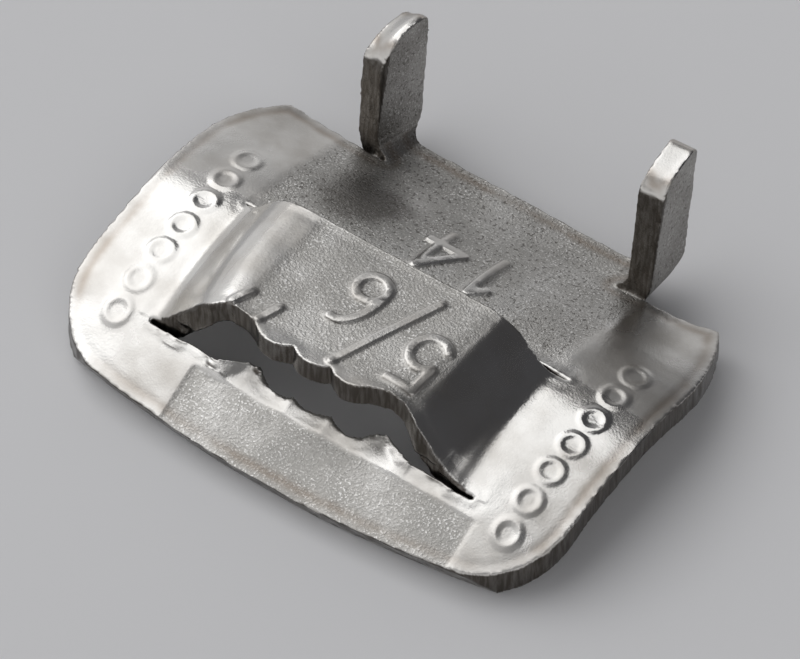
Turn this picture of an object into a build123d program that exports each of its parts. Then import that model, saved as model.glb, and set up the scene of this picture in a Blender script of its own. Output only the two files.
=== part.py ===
"""Locking clip for 3/8 inch steel band, pressed from one piece of stainless sheet.

X runs along the clip, Y runs with the band from the front lip to the ears, Z is up.
The origin is the middle of the footprint, on the face that the clip rests on.
"""

from build123d import *
from math import cos, radians, sin, tan
import os

# Sheet and blank, in millimetres and degrees
sheet = 1.05
blank_length = 22.1
front_strip_depth = 4.85
front_bow = 0.5
front_corner = 3.6
back_corner = 7.0
back_corner_start_y = 8.1
slit_y_at_tab = 11.8
slit_y_at_end = 12.3
tab_back_y = 13.55
tab_width = 9.9

# Rise and fall of the sheet from the front lip to the ears, as (y, z) of its top
sheet_start = (-4.2, -2.23)
front_knee = (1.3, 0.33)
back_knee = (7.2, 0.78)
tab_knee = (11.9, -1.3)
sheet_end = (15.5, -2.03)
front_knee_radius = 10.0
back_knee_radius = 11.0
tab_knee_radius = 4.0
crown_flat = 5.0
crown_radius = 60.0

# Bridge that the band passes under
bridge_depth = 5.85
bridge_front_z = 2.55
bridge_back_z = 2.3
leg_foot_x = 6.65
leg_angle = 50.0
shoulder_radius = 2.2
foot_radius = 1.1
foot_bite = 0.05
bridge_station_count = 5
bridge_shift = -0.3
slit_half_length = 7.3
slit_width = 0.15
foot_inset = 0.3
foot_overlap = 0.5

# Torn front edge of the bridge
tooth_count = 3
tooth_pitch = 1.67
tooth_depth = 0.35
recess_length = 2.1
recess_depth = 0.3

# Ears that fold over the band
left_ear_toe_in = 8.5
left_ear_rake = 5.5
left_ear_width = 2.5
left_ear_height = 5.85
left_ear_tip_drop = 0.35
left_ear_front_corner = 1.7
right_ear_toe_in = 4.0
right_ear_rake = 3.6
right_ear_width = 2.45
right_ear_height = 6.35
right_ear_tip_drop = 0.75
right_ear_front_corner = 1.1
ear_back_corner = 0.45
ear_bend_radius = 0.75
ear_root_rise = 0.6
ear_root_corner = 0.5
slit_gap = 0.1
ear_overlap = 0.6

half_length = blank_length / 2
half_tab = tab_width / 2
end_trim = 1.0
reach = half_length + end_trim
cut_reach = 14.0

# The sheet line, seen from the side
with BuildLine(Plane.YZ) as sheet_line:
    FilletPolyline(
        sheet_start, front_knee, back_knee, tab_knee, sheet_end,
        radius=[front_knee_radius, back_knee_radius, tab_knee_radius],
    )
sheet_path = sheet_line.wire()
section_plane = Plane(origin=sheet_path @ 0, x_dir=(1, 0, 0), z_dir=-(sheet_path % 0))
front_rise = sheet_path % 0
front_plane = Plane(origin=(0, *front_knee), x_dir=(1, 0, 0), z_dir=(0, -front_rise.Z, front_rise.Y))

tab_fall = sheet_path % 1
ear_front_y = slit_y_at_tab + slit_gap


def sheet_height(y):
    """Height of the sheet's top at mid length, found by halving the path."""
    low, high = 0.0, 1.0
    for _ in range(40):
        middle = (low + high) / 2
        if (sheet_path @ middle).Y < y:
            low = middle
        else:
            high = middle
    return (sheet_path @ low).Z


def crowned_section(top, bottom):
    """Band between two depths under the top line, flat in the middle and drooping to the ends."""
    droop = crown_radius - (crown_radius**2 - (reach - crown_flat) ** 2) ** 0.5
    with BuildSketch(section_plane) as section:
        with BuildLine():
            Line((-crown_flat, -top), (crown_flat, -top))
            for side in (-1, 1):
                TangentArc((side * crown_flat, -top), (side * reach, -top - droop), tangent=(side, 0))
                Line((side * reach, -top - droop), (side * reach, -bottom - droop))
                TangentArc((side * crown_flat, -bottom), (side * reach, -bottom - droop), tangent=(side, 0))
            Line((-crown_flat, -bottom), (crown_flat, -bottom))
        make_face()
    return section.sketch


def bowed_strip(half_width, front_y):
    """Outline with a bowed front edge and square corners."""
    bow_half = half_length - front_corner
    bow_radius = (bow_half**2 + front_bow**2) / (2 * front_bow)
    end_y = front_y + bow_radius - (bow_radius**2 - half_width**2) ** 0.5
    back_y = back_corner_start_y + back_corner
    with BuildSketch() as outline:
        with BuildLine():
            ThreePointArc((-half_width, end_y), (0, front_y), (half_width, end_y))
            Polyline((half_width, end_y), (half_width, back_y), (-half_width, back_y), (-half_width, end_y))
        make_face()
    return outline.sketch


def blank_outline():
    """Plan of the blank: bowed front, rounded corners, two slits and the tab that carries the ears."""
    back_y = back_corner_start_y + back_corner
    with BuildSketch() as outline:
        add(bowed_strip(half_length, front_knee[0] - front_strip_depth * front_rise.Y))
        fillet(outline.vertices().group_by(Axis.Y)[0], radius=front_corner)
        fillet(outline.vertices().group_by(Axis.Y)[-1], radius=back_corner)
        for side, toe_in in ((-1, left_ear_toe_in), (1, right_ear_toe_in)):
            tab_back_x = half_tab - (back_y - slit_y_at_tab) * tan(radians(toe_in))
            with BuildLine():
                Polyline(
                    (side * half_tab, slit_y_at_tab), (side * reach, slit_y_at_end),
                    (side * reach, back_y), (side * tab_back_x, back_y), close=True,
                )
            make_face(mode=Mode.SUBTRACT)
        with Locations((0, tab_back_y)):
            Rectangle(tab_width, back_y, align=(Align.CENTER, Align.MIN), mode=Mode.SUBTRACT)
    return outline.sketch


def torn_line(y):
    """Front lance line: a straight run, a recess, the teeth, a recess and a straight run."""
    teeth_half = tooth_count * tooth_pitch / 2
    recess_end = teeth_half + recess_length
    Line((-slit_half_length, y), (-recess_end, y))
    ThreePointArc(
        (-recess_end, y), (-(recess_end + teeth_half) / 2, y + recess_depth), (-teeth_half, y)
    )
    for tooth in range(tooth_count):
        left = -teeth_half + tooth * tooth_pitch
        ThreePointArc(
            (left, y), (left + tooth_pitch / 2, y - tooth_depth), (left + tooth_pitch, y)
        )
    ThreePointArc(
        (teeth_half, y), ((recess_end + teeth_half) / 2, y + recess_depth), (recess_end, y)
    )
    Line((recess_end, y), (slit_half_length, y))


def window_plan():
    """Plan of the opening left in the plate by lancing and raising the strip."""
    front_y, back_y = -slit_width, bridge_depth + slit_width
    foot_x = slit_half_length - foot_inset
    with BuildSketch() as plan:
        with BuildLine():
            torn_line(front_y)
            Polyline(
                (slit_half_length, front_y), (slit_half_length, 0), (foot_x, 0),
                (foot_x, bridge_depth), (slit_half_length, bridge_depth),
                (slit_half_length, back_y), (-slit_half_length, back_y),
                (-slit_half_length, bridge_depth), (-foot_x, bridge_depth),
                (-foot_x, 0), (-slit_half_length, 0), (-slit_half_length, front_y),
            )
        make_face()
    return plan.sketch


def bridge_plan():
    """Plan of the lanced strip that becomes the bridge."""
    foot_end = slit_half_length + foot_overlap
    with BuildSketch() as plan:
        with BuildLine():
            torn_line(0)
            Polyline(
                (slit_half_length, 0), (foot_end, 0), (foot_end, bridge_depth),
                (-foot_end, bridge_depth), (-foot_end, 0), (-slit_half_length, 0),
            )
        make_face()
    return plan.sketch


def bridge_line(base_z, top_z, depth):
    """Line across the bridge a given depth below its top face, from a foot level to the same level."""
    foot_x = leg_foot_x - depth * tan(radians(leg_angle / 2))
    crest_z = top_z - depth
    crest_x = foot_x - (crest_z - base_z) / tan(radians(leg_angle))
    foot, shoulder = foot_radius + depth, shoulder_radius - depth
    return FilletPolyline(
        (-reach, base_z), (bridge_shift - foot_x, base_z), (bridge_shift - crest_x, crest_z),
        (bridge_shift + crest_x, crest_z), (bridge_shift + foot_x, base_z), (reach, base_z),
        radius=[foot, shoulder, shoulder, foot],
    )


def bridge_section(y):
    """Section of the bent strip, with its feet lying in the plate and its top falling to the back."""
    top_z = bridge_front_z + (bridge_back_z - bridge_front_z) * y / bridge_depth
    with BuildSketch(Plane.XZ.offset(-y)) as section:
        with BuildLine():
            top = bridge_line(sheet_height(y) - foot_bite, top_z, 0)
            bottom = bridge_line(sheet_height(y) - sheet + foot_bite, top_z, sheet)
            Line(top @ 0, bottom @ 0)
            Line(top @ 1, bottom @ 1)
        make_face()
    return section.sketch


def ear_section():
    """Section across an ear's bend as (outward, up), with its root lying in the tab."""
    outer_x = ear_bend_radius + sheet
    height = left_ear_height + right_ear_height
    with BuildSketch() as section:
        with BuildLine():
            Polyline((-ear_overlap, -foot_bite), (0, -foot_bite), (0, 0))
            TangentArc((0, 0), (ear_bend_radius, ear_bend_radius), tangent=(1, 0))
            Polyline(
                (ear_bend_radius, ear_bend_radius), (ear_bend_radius, height),
                (outer_x, height), (outer_x, ear_bend_radius),
            )
            TangentArc((outer_x, ear_bend_radius), (0, -sheet), tangent=(0, -1))
            Polyline(
                (0, -sheet), (0, foot_bite - sheet), (-ear_overlap, foot_bite - sheet),
                (-ear_overlap, -foot_bite),
            )
        make_face()
    return section.sketch


def ear_side(root_width, width, height, tip_drop, rake, front_corner):
    """Side view of an ear as (along the bend, up): narrow at the root, raked forward, tip falling."""
    slope = tan(radians(rake))
    low, front_height = -2 * sheet, height - tip_drop
    with BuildSketch() as side:
        with BuildLine():
            Polyline(
                (0, low), (root_width, low), (root_width, 0),
                (width - slope * ear_root_rise, ear_root_rise), (width - slope * height, height),
                (-slope * front_height, front_height), (0, 0), close=True,
            )
        make_face()
        fillet(side.vertices().sort_by(Axis.Y)[-1], radius=ear_back_corner)
        fillet(side.vertices().sort_by(Axis.X)[0], radius=front_corner)
        fillet(side.vertices().sort_by(Axis.X)[-1], radius=ear_root_corner)
    return side.sketch


def ear(toe_in, rake, width, height, tip_drop, front_corner):
    """Ear on the tab's right side, its bend line in the tab closing to the back by the toe-in."""
    toe = radians(toe_in)
    bend_axis = tab_fall * cos(toe) - Vector(1, 0, 0) * sin(toe)
    outward = Vector(1, 0, 0) * cos(toe) + tab_fall * sin(toe)
    root = Vector(half_tab, ear_front_y, sheet_height(ear_front_y))
    root_width = (tab_back_y - ear_front_y) / bend_axis.Y
    side = ear_side(root_width, width, height, tip_drop, rake, front_corner)
    with BuildPart() as blade:
        extrude(Plane(origin=root, x_dir=outward, z_dir=-bend_axis) * ear_section(), amount=cut_reach, both=True)
        extrude(
            Plane(origin=root, x_dir=bend_axis, z_dir=outward) * side,
            amount=cut_reach, both=True, mode=Mode.INTERSECT,
        )
    return blade.part


with BuildPart() as bridge:
    step = (bridge_depth + tooth_depth) / (bridge_station_count - 1)
    loft([bridge_section(n * step - tooth_depth) for n in range(bridge_station_count)])
    extrude(bridge_plan(), amount=cut_reach, both=True, mode=Mode.INTERSECT)

right_ear = ear(
    right_ear_toe_in, right_ear_rake, right_ear_width,
    right_ear_height, right_ear_tip_drop, right_ear_front_corner,
)
left_ear = mirror(ear(
    left_ear_toe_in, left_ear_rake, left_ear_width,
    left_ear_height, left_ear_tip_drop, left_ear_front_corner,
), about=Plane.YZ)

with BuildPart() as clip_body:
    sweep(crowned_section(0, sheet), path=sheet_path)
    extrude(blank_outline(), amount=cut_reach, both=True, mode=Mode.INTERSECT)
    extrude(
        front_plane * bowed_strip(reach, -front_strip_depth),
        amount=cut_reach, both=True, mode=Mode.INTERSECT,
    )
    extrude(window_plan(), amount=cut_reach, both=True, mode=Mode.SUBTRACT)
    add(bridge)
    add(right_ear)
    add(left_ear)

box = clip_body.part.bounding_box()
clip_body.part.position -= Vector(box.center().X, box.center().Y, box.min.Z)
clip_body.part.label = "clip_body"
os.makedirs("parts", exist_ok=True)
export_step(clip_body.part, "parts/clip_body.step")
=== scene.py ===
"""Pressed steel locking clip: the worked surface of the sheet, its finish, the floor, lights and camera."""

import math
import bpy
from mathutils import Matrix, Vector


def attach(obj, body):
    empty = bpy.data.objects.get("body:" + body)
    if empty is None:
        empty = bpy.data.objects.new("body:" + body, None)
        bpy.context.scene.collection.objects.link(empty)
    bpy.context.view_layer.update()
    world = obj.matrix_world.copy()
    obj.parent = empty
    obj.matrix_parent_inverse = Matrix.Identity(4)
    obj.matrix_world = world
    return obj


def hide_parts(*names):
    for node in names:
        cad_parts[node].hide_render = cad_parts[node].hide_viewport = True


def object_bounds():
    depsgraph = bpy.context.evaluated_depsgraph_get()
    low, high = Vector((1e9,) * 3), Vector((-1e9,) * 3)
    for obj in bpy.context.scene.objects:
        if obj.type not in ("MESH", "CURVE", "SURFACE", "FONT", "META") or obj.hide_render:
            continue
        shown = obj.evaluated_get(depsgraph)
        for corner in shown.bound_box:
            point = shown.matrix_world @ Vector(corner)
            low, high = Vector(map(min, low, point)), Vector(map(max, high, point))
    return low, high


bl_info = {
    "name": "Locking Clip",
    "version": (1, 0, 0),
    "blender": (4, 5, 0),
    "location": "3D View > Sidebar > Clip",
    "description": "Builds a pressed steel band clip on its solid frame, with a plain studio around it",
    "category": "Add Mesh",
}

import bpy
import numpy as np
from bpy.props import FloatProperty, FloatVectorProperty, IntProperty, PointerProperty
from mathutils import Vector
from mathutils.kdtree import KDTree

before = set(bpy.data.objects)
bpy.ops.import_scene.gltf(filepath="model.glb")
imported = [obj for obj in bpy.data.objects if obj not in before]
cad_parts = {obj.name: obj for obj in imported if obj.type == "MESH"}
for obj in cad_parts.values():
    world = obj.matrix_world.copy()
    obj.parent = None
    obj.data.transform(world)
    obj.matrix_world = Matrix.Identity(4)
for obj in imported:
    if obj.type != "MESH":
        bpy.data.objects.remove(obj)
frame_low, frame_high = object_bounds()

MM = 0.001

# Places on the clip in millimetres, from the bridge's front edge at the level of the plate's top
BRIDGE_FROM_FRONT = 3.097
PLATE_TOP = 2.706
FRONT_EDGE = Vector((0, frame_low[1] / MM + BRIDGE_FROM_FRONT, PLATE_TOP))
LOWEST_TOP = -2.4

# The bridge, the slit behind it, and the teeth and recesses along its front edge
BRIDGE_SHIFT = -0.3
BRIDGE_REACH = 6.9
BRIDGE_BACK = 6.1
SLIT_BACK = 5.93
SLIT_CLOSING = 0.1
TOOTH_PITCH = 1.67
TOOTH_DEPTH = 0.35
TEETH_REACH = 1.5 * TOOTH_PITCH
RECESS_HALF = 1.05
RECESS_DEPTH = 0.3

# Uneven tear along the front strip, as place along the clip and shift backwards
TEAR_OFFSET = 0.15
TEAR = (
    (-7.3, -0.15), (-5.2, -0.13), (-4.2, -0.22), (-3.1, 0.28), (-2.3, 0.36), (-1.05, -0.05),
    (0, 0.19), (1.68, -0.1), (3.0, 0.41), (4.5, -0.05), (7.3, -0.15),
)

# The tab's fall to the rear, the ears' roots, and each ear's side, toe-in and height
TAB_FALL = math.radians(11.46)
EAR_ROOT = (4.95, 11.9, -1.3)
EAR_REACH = 6.9
EARS = ((-1, math.radians(8.5), 5.85), (1, math.radians(4.0), 6.35))

# How far the slanted tip of the left ear falls, and how far each back corner curls up, by side
EAR_SLANT = 0.4
CORNER_RISES = ((-1, 0.3), (1, 0.6))

# Coined fields on the front strip, on the bridge and behind it, as corners and softness of the border
FIELD_DEPTH = 0.05
FIELDS = (
    ((-4.85, -3.4), (7.8, -0.75), 0.1),
    ((-3.6, 0.3), (4.3, 6.3), 0.25),
    ((-7.0, 6.25), (6.6, 15.0), 0.35),
)

# Half width of a raised stroke at its top and at its foot
STROKE_TOP = 0.13
STROKE_FOOT = 0.25

# Raised rings along both ends, as the place of each column's first ring, and the ticks on the bridge
RING_COLUMNS = ((-8.65, -0.3), (9.1, -0.5))
RING_COUNT = 7
RING_PITCH = 1.36
RING_RADIUS = 0.46
RING_FOOT = 0.26
RING_HEIGHT = 0.4
TICKS = (((-3.95, 0.5), (-3.6, 1.3)), ((-2.65, 0.35), (-2.35, 1.25)))

# The burr and the groove beside it along sheared edges, and the depth of the streaks on sheared walls
BURR_WIDTH = 0.12
GROOVE_PLACE = 0.4
GROOVE_WIDTH = 0.2
GROOVE_DEPTH = 0.012
STREAK_DEPTH = 0.07

# Unevenness of the whole surface, as height, size and seed
WAVES = ((0.05, 2.6, 5), (0.014, 0.8, 6))

# The painted shade on a dark spot of the strip behind the bridge, the painted shade on the ears, and the
# stain along the rim
PAINTED_SHADE_SPOT_MIDDLE = (-4.1, 9.2)
PAINTED_SHADE_SPOT_DARKNESS = 0.65
PAINTED_EAR_SHADE = 0.4
RIM_PLACE = 0.42
RIM_WIDTH = 0.2
RIM_SHADE = 0.7

# Grain sizes of the finish in millimetres, and the depth of its bump
GRAIN = 0.08
FLECK = 0.14
STREAK = 0.13
DENSITY = 1.1
CLOUD = 2.4
BUMP_DEPTH = 0.03

# The floor's size in metres, and the direction in which the pale surroundings darken
FLOOR_SIZE = 6.0
DARKER_SIDE = (0.62, 0.39, 1.0)
PALE = (0.8, 0.8, 0.81, 1)
DARK = (0.07, 0.07, 0.075, 1)

# Soft lamps, as name, azimuth and elevation in degrees, distance and size in metres, and watts
LAMPS = (
    ("key", 259, 59, 0.5, 0.5, 1.0),
    ("fill", 60, 45, 0.6, 0.4, 0.4),
)

# The camera's lens and its aim from the front edge in millimetres, and its distance in metres
CAMERA_LENS = 491.4
AIM_RIGHT = 3.216
AIM_UP = 2.601
CAMERA_DISTANCE = 0.4


def in_millimetres(length):
    """A length setting in millimetres."""
    return round(length / MM, 4)


def value_noise(points, size, seed):
    """Smooth noise from 0 to 1 with grains of a size, for an array of points."""
    lattice = np.random.RandomState(seed).rand(32, 32, 32)
    scaled = points / size + 1000.0
    cell = np.floor(scaled).astype(int)
    part = scaled - cell
    part = part * part * (3 - 2 * part)
    total = np.zeros(len(points))
    for corner in np.ndindex(2, 2, 2):
        weight = np.ones(len(points))
        for axis in range(3):
            weight *= part[:, axis] if corner[axis] else 1 - part[:, axis]
        index = (cell + corner) % 32
        total += weight * lattice[index[:, 0], index[:, 1], index[:, 2]]
    return total


def smooth_step(low, high, values):
    """0 at low, 1 at high and an S curve between."""
    share = np.clip((values - low) / (high - low), 0, 1)
    return share * share * (3 - 2 * share)


def vertex_values(mesh, name):
    """One of a mesh's vertex vectors, such as co or normal, as an array."""
    values = np.empty(len(mesh.vertices) * 3, np.float32)
    mesh.vertices.foreach_get(name, values)
    return values.reshape(-1, 3).astype(float)


def set_coordinates(mesh, points):
    """Writes an array of positions into a mesh."""
    mesh.vertices.foreach_set("co", points.astype(np.float32).ravel())
    mesh.update()


def applied(obj):
    """The object's mesh with its modifiers applied, and the modifiers removed."""
    graph = bpy.context.evaluated_depsgraph_get()
    mesh = bpy.data.meshes.new_from_object(obj.evaluated_get(graph))
    obj.modifiers.clear()
    old = obj.data
    obj.data = mesh
    bpy.data.meshes.remove(old)
    return mesh


class ClipShapeSettings(bpy.types.PropertyGroup):
    """Sizes of the worked details on the sheet."""

    mesh_size: FloatProperty(
        name="Mesh size", description="Edge length of the fine mesh", default=0.065 * MM,
        min=0.03 * MM, precision=6, subtype="DISTANCE", unit="LENGTH",
    )
    smoothing: IntProperty(
        name="Smoothing", description="Passes that round the sheared edges", default=4, min=0
    )
    foot_smoothing: IntProperty(
        name="Foot smoothing", description="Passes that let the bridge's feet flow into the plate",
        default=60, min=0,
    )
    burr_height: FloatProperty(
        name="Burr", description="Height of the burr along sheared edges", default=0.05 * MM,
        min=0, precision=6, subtype="DISTANCE", unit="LENGTH",
    )
    mark_height: FloatProperty(
        name="Mark height", description="Height of the raised marks", default=0.1 * MM,
        min=0, precision=6, subtype="DISTANCE", unit="LENGTH",
    )
    most_triangles: IntProperty(
        name="Most triangles", description="Triangles that the finished mesh may have", default=190000,
        min=1000,
    )


class ClipFinishSettings(bpy.types.PropertyGroup):
    """Colours and gloss of the steel."""

    steel: FloatVectorProperty(
        name="Steel", description="Colour of the tumbled steel", subtype="COLOR",
        default=(0.66, 0.65, 0.63), min=0, max=1,
    )
    dull: FloatVectorProperty(
        name="Dull steel", description="Colour of the steel where it is less bright", subtype="COLOR",
        default=(0.5, 0.48, 0.45), min=0, max=1,
    )
    coined: FloatVectorProperty(
        name="Coined steel", description="Colour of the grained fields", subtype="COLOR",
        default=(0.4, 0.39, 0.37), min=0, max=1,
    )
    speck: FloatVectorProperty(
        name="Bright specks", description="Colour of the bright grains", subtype="COLOR",
        default=(0.85, 0.84, 0.82), min=0, max=1,
    )
    stain: FloatVectorProperty(
        name="Stain", description="Colour of the stain along the rim", subtype="COLOR",
        default=(0.24, 0.18, 0.13), min=0, max=1,
    )
    # Dark colour of the sheared walls, partly painted reflection; it also paints shade on a spot behind the
    # bridge and on the ears, and darkens the pits
    sheared: FloatVectorProperty(
        name="Sheared steel", description="Colour of the sheared edges", subtype="COLOR",
        default=(0.08, 0.07, 0.06), min=0, max=1,
    )
    roughness: FloatProperty(
        name="Roughness", description="Roughness of the smooth faces", default=0.27, min=0, max=1,
        subtype="FACTOR",
    )
    coined_roughness: FloatProperty(
        name="Coined roughness", description="Roughness of the grained fields", default=0.42, min=0,
        max=1, subtype="FACTOR",
    )
    pebble: FloatProperty(
        name="Pebble size", description="Size of the coined grain", default=0.13 * MM,
        min=0.01 * MM, precision=6, subtype="DISTANCE", unit="LENGTH",
    )


class ClipStageSettings(bpy.types.PropertyGroup):
    """Floor and camera angle."""

    floor_colour: FloatVectorProperty(
        name="Floor", description="Colour of the floor", subtype="COLOR", default=(0.72, 0.72, 0.73),
        min=0, max=1,
    )
    azimuth: FloatProperty(
        name="Azimuth", description="Camera's angle round the clip", default=math.radians(35.55),
        subtype="ANGLE",
    )
    elevation: FloatProperty(
        name="Elevation", description="Camera's angle above the floor", default=math.radians(50.2),
        subtype="ANGLE",
    )


def ear_places(points, side, toe_in):
    """Places from an ear's bend line, as (outward, along the bend, up), for points on the clip."""
    along = Vector((-side * math.sin(toe_in), math.cos(toe_in) * math.cos(TAB_FALL),
                    -math.cos(toe_in) * math.sin(TAB_FALL)))
    up = Vector((0, math.sin(TAB_FALL), math.cos(TAB_FALL)))
    outward = side * along.cross(up)
    root = Vector((side * EAR_ROOT[0], EAR_ROOT[1], EAR_ROOT[2]))
    return (points - np.array(root)) @ np.array([outward, along, up]).T


def wall_share(points, normal):
    """How far each point's face is a sheared wall of the sheet, from 0 to 1."""
    x, y, _ = points.T
    bridge = (y > -0.6) & (y < BRIDGE_BACK) & (abs(x) < BRIDGE_REACH)
    wall = np.where(bridge, abs(normal[:, 1]), 1 - abs(normal[:, 2]))
    for side, toe_in, height in EARS:
        place = ear_places(points, side, toe_in)
        origin = ear_places(np.zeros((1, 3)), side, toe_in)
        facing = ear_places(normal, side, toe_in) - origin
        ear = (place[:, 0] > -0.1) & (place[:, 1] > -0.1) & (side * x > 0) & (side * x < EAR_REACH)
        tip = smooth_step(height - 2.1, height - 1.7, place[:, 2]) * smooth_step(0.15, 0.35, facing[:, 2])
        edge = abs(facing[:, 1]) * (1 - tip)
        wall = np.where(ear, edge, wall)
    return smooth_step(0.4, 0.65, wall)


def edge_distance(points, wall):
    """Distance of every point from the nearest sheared wall, in millimetres."""
    wall_index = np.nonzero(wall > 0.5)[0][::2]
    tree = KDTree(len(wall_index))
    for place, index in enumerate(wall_index):
        tree.insert(points[index], place)
    tree.balance()
    return np.array([tree.find(point)[2] for point in points])


def stroke_distance(places, path):
    """Distance of flat places from a path of straight runs."""
    nearest = np.full(len(places), 9.0)
    for start, end in zip(path, path[1:]):
        run = end - start
        share = np.clip((places - start) @ run / (run @ run), 0, 1)
        nearest = np.minimum(nearest, np.linalg.norm(places - start - share[:, None] * run, axis=1))
    return nearest


def arc(centre, radii, first, last):
    """Points along an arc, between two angles in degrees."""
    angles = np.radians(np.linspace(first, last, 18))
    return np.stack([centre[0] + radii[0] * np.cos(angles), centre[1] + radii[1] * np.sin(angles)], 1)


def figure_paths():
    """Strokes of the raised figures, read from the back, as (middle, strokes)."""
    six = (arc((0, -0.72), (0.64, 0.64), 0, 360), arc((0.35, -0.6), (0.99, 1.9), 80, 180))
    five = (
        np.array([(0.6, 1.3), (-0.5, 1.3), (-0.58, 0.1)]),
        arc((-0.02, -0.5), (0.72, 0.8), 135, -145),
    )
    bar = (np.array([(0.83, 2.3), (-0.83, -2.3)]),)
    one = (np.array([(-0.45, 0.75), (0.1, 1.25), (0.1, -1.25)]),)
    four = (np.array([(0.35, -1.25), (0.35, 1.25), (-0.75, -0.4), (0.8, -0.4)]),)
    return (
        ((3.35, 2.15), five),
        ((1.5, 2.6), bar),
        ((-0.15, 3.3), six),
        ((1.9, 8.5), one),
        ((-0.2, 8.5), four),
    )


def mark_relief(places):
    """Height share of all the raised marks on the sheet's top, from 0 to 1."""
    figures = np.full(len(places), 9.0)
    for middle, strokes in figure_paths():
        local = np.array(middle) - places
        for path in strokes:
            figures = np.minimum(figures, stroke_distance(local, path))
    for tick in TICKS:
        figures = np.minimum(figures, stroke_distance(places, np.array(tick)))
    rings = np.full(len(places), 9.0)
    for column, start in RING_COLUMNS:
        for number in range(RING_COUNT):
            reach = np.hypot(places[:, 0] - column, places[:, 1] - start - RING_PITCH * number)
            rings = np.minimum(rings, abs(reach - RING_RADIUS))
    raised_rings = RING_HEIGHT * smooth_step(RING_FOOT, 0.0, rings)
    return np.maximum(smooth_step(STROKE_FOOT, STROKE_TOP, figures), raised_rings)


def box_share(places, low, high, soft):
    """1 inside a flat box, 0 outside, with a soft border."""
    share = np.ones(len(places))
    for axis in range(2):
        share *= smooth_step(low[axis] - soft, low[axis] + soft, places[:, axis])
        share *= smooth_step(high[axis] + soft, high[axis] - soft, places[:, axis])
    return share


def coined_share(places):
    """How far each flat place lies in one of the coined, grained fields."""
    share = np.zeros(len(places))
    for low, high, soft in FIELDS:
        share = np.maximum(share, box_share(places, low, high, soft))
    return share


def foot_share(points, normal):
    """How far each point lies on the top of the sheet where the bridge's feet leave the plate."""
    x, y, _ = points.T
    share = smooth_step(1.6, 1.1, abs(abs(x) - BRIDGE_REACH)) * smooth_step(-0.05, 0.3, y)
    return share * smooth_step(6.0, 5.6, y) * smooth_step(0.2, 0.5, normal[:, 2])


def torn_shift(points):
    """How far the front strip's inner edge moves back, to follow the uneven tear."""
    x, y, z = points.T
    along, shifts = zip(*TEAR)
    torn = np.interp(x, along, shifts)
    teeth = -TOOTH_DEPTH * abs(np.cos(math.pi * x / TOOTH_PITCH)) * (abs(x) < TEETH_REACH)
    recess_place = (abs(x) - TEETH_REACH - RECESS_HALF) / RECESS_HALF
    recess = RECESS_DEPTH * np.clip(1 - recess_place ** 2, 0, 1)
    ragged = 0.16 * (value_noise(points, 0.45, 11) - 0.5)
    share = smooth_step(-1.1, -0.1, y) * smooth_step(1.0, 0.6, y) * smooth_step(0.4, 0.15, z - 0.45 * y)
    return share * (torn + TEAR_OFFSET - teeth - recess + ragged) * smooth_step(7.0, 5.9, abs(x))


def slit_shift(points):
    """How far the plate moves up to the bridge's back edge, beside its feet."""
    x, y, _ = points.T
    behind = (y > SLIT_BACK) * smooth_step(7.2, 6.1, y)
    beside = smooth_step(7.4, 7.2, abs(x)) * smooth_step(4.8, 5.6, abs(x))
    return SLIT_CLOSING * behind * beside


class CLIP_OT_body(bpy.types.Operator):
    """Builds the clip's worked surface from its solid frame"""

    bl_idname = "clip.body"
    bl_label = "Clip Body"

    def execute(self, context):
        shape = context.scene.clip_shape
        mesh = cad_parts["clip_body"].data.copy()
        mesh.materials.clear()
        set_coordinates(mesh, vertex_values(mesh, "co") / MM - np.array(FRONT_EDGE))
        clip = bpy.data.objects.new("steel_clip", mesh)
        context.scene.collection.objects.link(clip)
        add_fine_mesh(clip, shape)
        smooth_feet(clip, shape)
        bend_sheet(clip.data)
        work_surface(clip.data, shape)
        thinning = clip.modifiers.new("Thinning", "DECIMATE")
        thinning.ratio = min(1.0, shape.most_triangles / (2 * len(clip.data.polygons)))
        mesh = applied(clip)
        mark_regions(mesh)
        in_metres = (vertex_values(mesh, "co") + np.array(FRONT_EDGE)) * MM
        set_coordinates(mesh, np.clip(in_metres, np.array(frame_low), np.array(frame_high)))
        for polygon in mesh.polygons:
            polygon.use_smooth = True
        mesh.materials.append(steel_material(context.scene.clip_finish))
        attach(clip, "root")
        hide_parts("clip_body")
        return {"FINISHED"}


def add_fine_mesh(clip, shape):
    """Even, fine mesh over the solid, with its sheared edges rounded."""
    weld = clip.modifiers.new("Weld", "WELD")
    weld.merge_threshold = 0.001
    remesh = clip.modifiers.new("Fine mesh", "REMESH")
    remesh.mode = "VOXEL"
    remesh.voxel_size = in_millimetres(shape.mesh_size)
    rounding = clip.modifiers.new("Rounding", "SMOOTH")
    rounding.factor = 0.5
    rounding.iterations = shape.smoothing
    applied(clip)


def smooth_feet(clip, shape):
    """Lets the bridge's feet flow into the plate."""
    shares = foot_share(vertex_values(clip.data, "co"), vertex_values(clip.data, "normal"))
    feet = clip.vertex_groups.new(name="feet")
    for index, share in enumerate(shares):
        if share > 0:
            feet.add([index], share, "REPLACE")
    flow = clip.modifiers.new("Feet", "SMOOTH")
    flow.factor = 0.5
    flow.iterations = shape.foot_smoothing
    flow.vertex_group = "feet"
    applied(clip)


def bend_sheet(mesh):
    """Uneven tear, closed slit, curled back corners and the slanted tip of the left ear."""
    points = vertex_values(mesh, "co")
    points[:, 1] += torn_shift(points)
    points[:, 1] -= slit_shift(points)
    x, y, _ = points.T
    for side, rise in CORNER_RISES:
        corner = smooth_step(7.6, 11.0, side * x) * smooth_step(7.5, 12.3, y) * (y < 13)
        points[:, 2] += rise * corner
    side, toe_in, _ = EARS[0]
    place = ear_places(points, side, toe_in)
    tip = smooth_step(4.0, 5.7, place[:, 2]) * smooth_step(0.95, 1.8, place[:, 0]) * (x < 0)
    points[:, 2] -= EAR_SLANT * tip
    set_coordinates(mesh, points)


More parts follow.
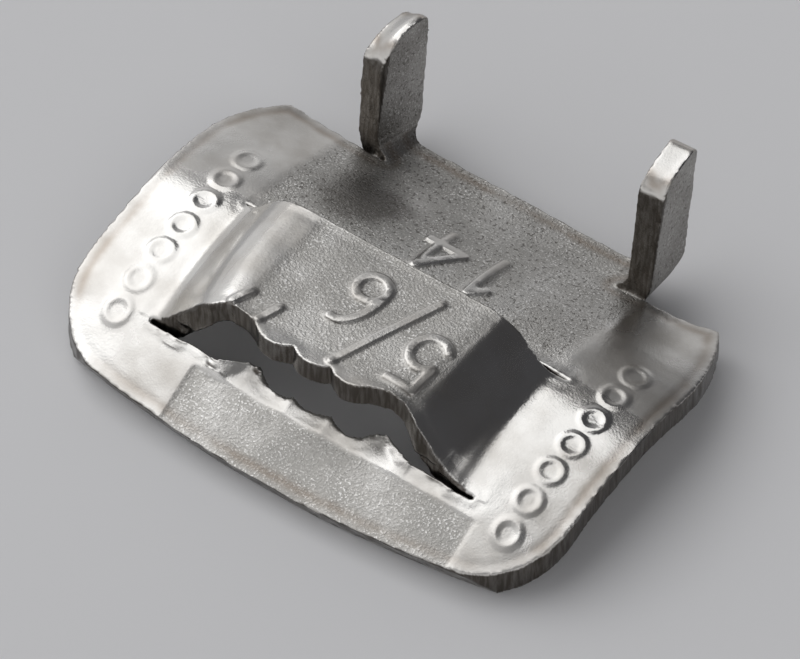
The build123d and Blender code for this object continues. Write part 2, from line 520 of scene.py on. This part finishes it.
def work_surface(mesh, shape):
    """Raises marks, burrs, rims and the fine unevenness of pressed and tumbled sheet."""
    points, normal = vertex_values(mesh, "co"), vertex_values(mesh, "normal")
    wall = wall_share(points, normal)
    distance = edge_distance(points, wall)
    places = points[:, :2]
    top = smooth_step(0.3, 0.6, normal[:, 2]) * (1 - wall) * (points[:, 2] > LOWEST_TOP)
    burr = smooth_step(BURR_WIDTH, 0.0, distance) * value_noise(points, 0.25, 3)
    groove = np.exp(-((distance - GROOVE_PLACE) / GROOVE_WIDTH) ** 2)
    lift = top * (in_millimetres(shape.burr_height) * burr - GROOVE_DEPTH * groove)
    lift += top * in_millimetres(shape.mark_height) * mark_relief(places)
    lift -= top * FIELD_DEPTH * coined_share(places)
    for height, size, seed in WAVES:
        lift += height * (value_noise(points, size, seed) - 0.5)
    upright = points / np.array((1, 1, 2.5))
    lift += wall * STREAK_DEPTH * (value_noise(upright, 0.3, 7) - 0.5)
    set_coordinates(mesh, points + normal * lift[:, None])


def mark_regions(mesh):
    """Stores where the steel is sheared or carries painted shade, stained along the rim, coined, pitted and
    polished by drawing.
    """
    points, normal = vertex_values(mesh, "co"), vertex_values(mesh, "normal")
    x, y, z = points.T
    places = points[:, :2]
    wall = wall_share(points, normal)
    distance = edge_distance(points, wall)
    top = smooth_step(0.3, 0.6, normal[:, 2])
    ears = (y > EAR_ROOT[1] - 0.05) & (abs(x) > EAR_ROOT[0] - 0.05) & (abs(x) < EAR_REACH)
    tips = smooth_step(2.0, 2.4, z) * smooth_step(0.3, 0.5, normal[:, 2]) * ears
    coined = top * coined_share(places) * (1 - mark_relief(places)) * (z > LOWEST_TOP)
    # The ear faces below their tips take the coined fields' grain, roughness and darker colour; that darker
    # colour is painted shade
    coined = np.where(ears, 1 - tips, coined)
    # Painted shade: a dark spot on the strip behind the bridge, where the steel's colour is darkened
    spread = np.hypot(x - PAINTED_SHADE_SPOT_MIDDLE[0], y - PAINTED_SHADE_SPOT_MIDDLE[1]) + 0.8 * (value_noise(points, 0.7, 9) - 0.5)
    painted_shade_spot = smooth_step(2.1, 0.9, spread) * top
    inner = box_share(places, (-10.0, -2.2), (10.0, 11.0), 0.6)
    rim = top * (1 - inner) * np.exp(-((distance - RIM_PLACE) / RIM_WIDTH) ** 2)
    regions = {
        # The sheared mask darkens the sheared walls, partly as painted reflection, and also holds the painted
        # shade on the spot behind the bridge and on the ears
        "sheared": np.maximum(np.maximum(wall, PAINTED_SHADE_SPOT_DARKNESS * painted_shade_spot), PAINTED_EAR_SHADE * ears * (1 - tips)),
        "rim": RIM_SHADE * rim,
        "pitted": coined * smooth_step(5.5, 7.0, y) * 0.8 + 0.2 * coined,
        "coined": coined,
        "drawn": smooth_step(4.5, 5.0, abs(x - BRIDGE_SHIFT)) * smooth_step(0.0, 0.6, z) * (y < BRIDGE_BACK),
    }
    for name, values in regions.items():
        attribute = mesh.attributes.new(name, "FLOAT", "POINT")
        attribute.data.foreach_set("value", values.astype(np.float32))


def noise_node(tree, place, size, detail):
    """Noise texture with a grain size in millimetres."""
    noise = tree.nodes.new("ShaderNodeTexNoise")
    noise.inputs["Scale"].default_value = 1 / (size * MM)
    noise.inputs["Detail"].default_value = detail
    tree.links.new(place, noise.inputs["Vector"])
    return noise.outputs["Fac"]


def ranged(tree, value, low, high, first=0.0, last=1.0):
    """Value mapped from one range to another and held inside it."""
    span = tree.nodes.new("ShaderNodeMapRange")
    span.inputs["From Min"].default_value = low
    span.inputs["From Max"].default_value = high
    span.inputs["To Min"].default_value = first
    span.inputs["To Max"].default_value = last
    tree.links.new(value, span.inputs["Value"])
    return span.outputs["Result"]


def combined(tree, operation, first, second):
    """Two values, or a value and a number, joined by a sum."""
    node = tree.nodes.new("ShaderNodeMath")
    node.operation = operation
    tree.links.new(first, node.inputs[0])
    if isinstance(second, float):
        node.inputs[1].default_value = second
    else:
        tree.links.new(second, node.inputs[1])
    return node.outputs[0]


def mixed(tree, share, first, second):
    """Colour between a first colour or socket and a second colour."""
    mix = tree.nodes.new("ShaderNodeMix")
    mix.data_type = "RGBA"
    tree.links.new(share, mix.inputs[0])
    if isinstance(first, bpy.types.NodeSocket):
        tree.links.new(first, mix.inputs[6])
    else:
        mix.inputs[6].default_value = (*first, 1)
    mix.inputs[7].default_value = (*second, 1)
    return mix.outputs[2]


def stored(tree, name):
    """Value of a named attribute."""
    node = tree.nodes.new("ShaderNodeAttribute")
    node.attribute_name = name
    return node.outputs["Fac"]


def upright_place(tree, place):
    """Places squeezed in height, which stretch a texture upright."""
    upright = tree.nodes.new("ShaderNodeMapping")
    upright.inputs["Scale"].default_value = (1, 1, 0.12)
    tree.links.new(place, upright.inputs["Vector"])
    return upright.outputs["Vector"]


def pebble_node(tree, place, size):
    """Rounded cells of a size in metres."""
    pebble = tree.nodes.new("ShaderNodeTexVoronoi")
    pebble.feature = "SMOOTH_F1"
    pebble.inputs["Scale"].default_value = 1 / size
    tree.links.new(place, pebble.inputs["Vector"])
    return pebble.outputs["Distance"]


def steel_colour(tree, finish, place, grain, cloud, pits):
    """Bright to dull steel, grey specked fields, dark pits, stained rim, and dark streaked edges that are
    partly painted reflection, with painted shade behind the bridge and on the ears.
    """
    coined = stored(tree, "coined")
    density = noise_node(tree, place, DENSITY, 3)
    specks = combined(tree, "MULTIPLY", ranged(tree, grain, 0.55, 0.65), ranged(tree, coined, 0, 1, 0.1, 1.0))
    specks = combined(tree, "MULTIPLY", specks, ranged(tree, density, 0.35, 0.6, 0.35, 1.0))
    worn = combined(tree, "MULTIPLY", coined, ranged(tree, cloud, 0.38, 0.62, 0.6, 1.0))
    stain = combined(tree, "MULTIPLY", stored(tree, "rim"), ranged(tree, cloud, 0.35, 0.55, 0.2, 0.7))
    streaks = noise_node(tree, upright_place(tree, place), STREAK, 3)
    # Dark streaked sheared walls, partly painted reflection, with the painted shade behind the bridge and on
    # the ears
    edge = combined(tree, "MULTIPLY", stored(tree, "sheared"), ranged(tree, streaks, 0.4, 0.65, 1.0, 0.84))
    colour = mixed(tree, ranged(tree, cloud, 0.35, 0.65), finish.steel, finish.dull)
    colour = mixed(tree, worn, colour, finish.coined)
    colour = mixed(tree, specks, colour, finish.speck)
    colour = mixed(tree, combined(tree, "MULTIPLY", pits, 0.6), colour, finish.sheared)
    colour = mixed(tree, stain, colour, finish.stain)
    return mixed(tree, edge, colour, finish.sheared)


def steel_roughness(tree, finish, cloud):
    """Uneven gloss, duller on the coined fields and brighter on the drawn legs."""
    smooth = ranged(tree, cloud, 0.3, 0.7, finish.roughness - 0.05, finish.roughness + 0.1)
    duller = combined(tree, "MULTIPLY", stored(tree, "coined"), finish.coined_roughness - finish.roughness)
    polish = combined(tree, "MULTIPLY", stored(tree, "drawn"), 0.12)
    return combined(tree, "SUBTRACT", combined(tree, "ADD", smooth, duller), polish)


def steel_grain(tree, finish, place, grain, pits):
    """Bumped normal of the pebbled, grained and pitted skin."""
    coined = stored(tree, "coined")
    pebbles = combined(
        tree, "MULTIPLY", pebble_node(tree, place, finish.pebble), ranged(tree, coined, 0, 1, 0.1, 0.5))
    grains = combined(tree, "MULTIPLY", grain, ranged(tree, coined, 0, 1, 0.25, 1.2))
    relief = combined(tree, "ADD", pebbles, grains)
    relief = combined(tree, "SUBTRACT", relief, combined(tree, "MULTIPLY", pits, 0.5))
    bump = tree.nodes.new("ShaderNodeBump")
    bump.inputs["Strength"].default_value = 0.6
    bump.inputs["Distance"].default_value = BUMP_DEPTH * MM
    tree.links.new(relief, bump.inputs["Height"])
    return bump.outputs["Normal"]


def steel_material(finish):
    """Tumbled stainless steel: smooth faces, grained coined fields, stained rim, dark sheared edges that are
    partly painted reflection, and painted shade behind the bridge and on the ears.
    """
    material = bpy.data.materials.new("stainless_sheet")
    material.use_nodes = True
    tree = material.node_tree
    shader = tree.nodes["Principled BSDF"]
    shader.inputs["Metallic"].default_value = 1.0
    place = tree.nodes.new("ShaderNodeTexCoord").outputs["Object"]
    grain = noise_node(tree, place, GRAIN, 3)
    fleck = noise_node(tree, place, FLECK, 2)
    cloud = noise_node(tree, place, CLOUD, 4)
    pits = combined(tree, "MULTIPLY", ranged(tree, fleck, 0.58, 0.66), stored(tree, "pitted"))
    tree.links.new(steel_colour(tree, finish, place, grain, cloud, pits), shader.inputs["Base Color"])
    tree.links.new(steel_roughness(tree, finish, cloud), shader.inputs["Roughness"])
    tree.links.new(steel_grain(tree, finish, place, grain, pits), shader.inputs["Normal"])
    return material


class CLIP_OT_stage(bpy.types.Operator):
    """Adds the floor, the lamps, the world and the camera"""

    bl_idname = "clip.stage"
    bl_label = "Stage"

    def execute(self, context):
        settings = context.scene.clip_stage
        add_floor(settings)
        add_world()
        add_lamps()
        add_camera(context, settings)
        return {"FINISHED"}


def add_floor(settings):
    """A wide pale floor under the clip."""
    bpy.ops.mesh.primitive_plane_add(size=FLOOR_SIZE, location=(0, 0, 0))
    floor = bpy.context.object
    floor.name = "floor"
    material = bpy.data.materials.new("floor")
    material.use_nodes = True
    shader = material.node_tree.nodes["Principled BSDF"]
    shader.inputs["Base Color"].default_value = (*settings.floor_colour, 1)
    shader.inputs["Roughness"].default_value = 0.9
    floor.data.materials.append(material)


def add_world():
    """Pale surroundings that darken overhead and towards the clip's right."""
    world = bpy.data.worlds.new("studio")
    world.use_nodes = True
    nodes, links = world.node_tree.nodes, world.node_tree.links
    place = nodes.new("ShaderNodeTexCoord")
    slope = nodes.new("ShaderNodeVectorMath")
    slope.operation = "DOT_PRODUCT"
    slope.inputs[1].default_value = DARKER_SIDE
    links.new(place.outputs["Generated"], slope.inputs[0])
    ramp = nodes.new("ShaderNodeValToRGB")
    ramp.color_ramp.elements[0].position = 0.2
    ramp.color_ramp.elements[0].color = PALE
    ramp.color_ramp.elements[1].position = 0.85
    ramp.color_ramp.elements[1].color = DARK
    links.new(slope.outputs["Value"], ramp.inputs["Fac"])
    links.new(ramp.outputs["Color"], nodes["Background"].inputs["Color"])
    bpy.context.scene.world = world


def add_lamps():
    """Soft lamps that point at the clip."""
    for name, azimuth, elevation, distance, size, power in LAMPS:
        data = bpy.data.lights.new(name, "AREA")
        data.size = size
        data.energy = power
        lamp = bpy.data.objects.new(name, data)
        lamp.location = direction(math.radians(azimuth), math.radians(elevation)) * distance
        lamp.rotation_euler = (-lamp.location).to_track_quat("-Z", "Y").to_euler()
        bpy.context.scene.collection.objects.link(lamp)


def direction(azimuth, elevation):
    """Unit vector towards a camera or lamp at an azimuth from -Y and an elevation."""
    return Vector((
        math.sin(azimuth) * math.cos(elevation),
        -math.cos(azimuth) * math.cos(elevation),
        math.sin(elevation),
    ))


def add_camera(context, settings):
    """Camera at the photograph's angle, with a long lens."""
    back = direction(settings.azimuth, settings.elevation)
    right = Vector((math.cos(settings.azimuth), math.sin(settings.azimuth), 0))
    up = back.cross(right)
    aim = FRONT_EDGE * MM + right * AIM_RIGHT * MM + up * AIM_UP * MM
    data = bpy.data.cameras.new("camera")
    data.lens = CAMERA_LENS
    data.sensor_width = 36.0
    data.clip_start = 0.01
    camera = bpy.data.objects.new("camera", data)
    camera.location = aim + back * CAMERA_DISTANCE
    camera.rotation_euler = back.to_track_quat("Z", "Y").to_euler()
    context.scene.collection.objects.link(camera)
    context.scene.camera = camera


class CLIP_PT_panel(bpy.types.Panel):
    """Lists the clip's settings and operators"""

    bl_label = "Locking Clip"
    bl_idname = "CLIP_PT_panel"
    bl_space_type = "VIEW_3D"
    bl_region_type = "UI"
    bl_category = "Clip"

    def draw(self, context):
        for group in ("clip_shape", "clip_finish", "clip_stage"):
            settings = getattr(context.scene, group)
            for name in settings.bl_rna.properties.keys():
                if name not in ("rna_type", "name"):
                    self.layout.prop(settings, name)
        self.layout.operator("clip.body")
        self.layout.operator("clip.stage")


CLASSES = (
    ClipShapeSettings, ClipFinishSettings, ClipStageSettings, CLIP_OT_body, CLIP_OT_stage, CLIP_PT_panel,
)


def register():
    for cls in CLASSES:
        bpy.utils.register_class(cls)
    bpy.types.Scene.clip_shape = PointerProperty(type=ClipShapeSettings)
    bpy.types.Scene.clip_finish = PointerProperty(type=ClipFinishSettings)
    bpy.types.Scene.clip_stage = PointerProperty(type=ClipStageSettings)


def unregister():
    del bpy.types.Scene.clip_stage
    del bpy.types.Scene.clip_finish
    del bpy.types.Scene.clip_shape
    for cls in reversed(CLASSES):
        bpy.utils.unregister_class(cls)


def main():
    """Builds the clip and its stage."""
    register()
    bpy.context.scene.view_settings.view_transform = "Standard"
    bpy.ops.clip.body()
    bpy.ops.clip.stage()


if __name__ == "__main__":
    main()
